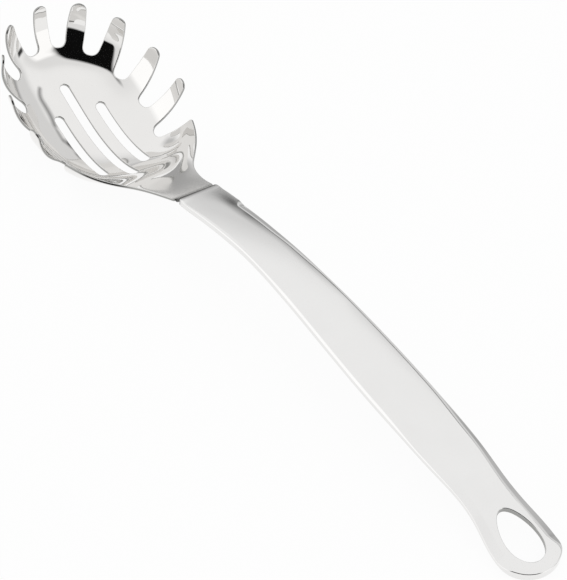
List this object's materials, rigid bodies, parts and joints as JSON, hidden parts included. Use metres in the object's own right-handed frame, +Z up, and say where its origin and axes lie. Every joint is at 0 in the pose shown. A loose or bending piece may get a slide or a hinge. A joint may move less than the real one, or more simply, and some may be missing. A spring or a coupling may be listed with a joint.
{
  "type": "pasta server",
  "caption": "Polished steel pasta server: a bowl edged with tines and slotted to drain, welded to an arched handle with a hang hole, for lifting long pasta.",
  "frame": {"origin": "middle of the bounding box's bottom, on the surface that the tool rests on", "axes": "+X from the bowl towards the handle's loop, +Y to the side, +Z up, the bowl opening upwards"},
  "size_m": [0.3366, 0.0756, 0.0416],
  "materials": {
    "polished_steel": "mirror-polished stainless steel",
    "weld_steel": "dressed stainless weld"
  },
  "bodies": {
    "root": {"head": "polished_steel", "neck_weld": "weld_steel", "handle": "polished_steel"}
  },
  "joints": []
}
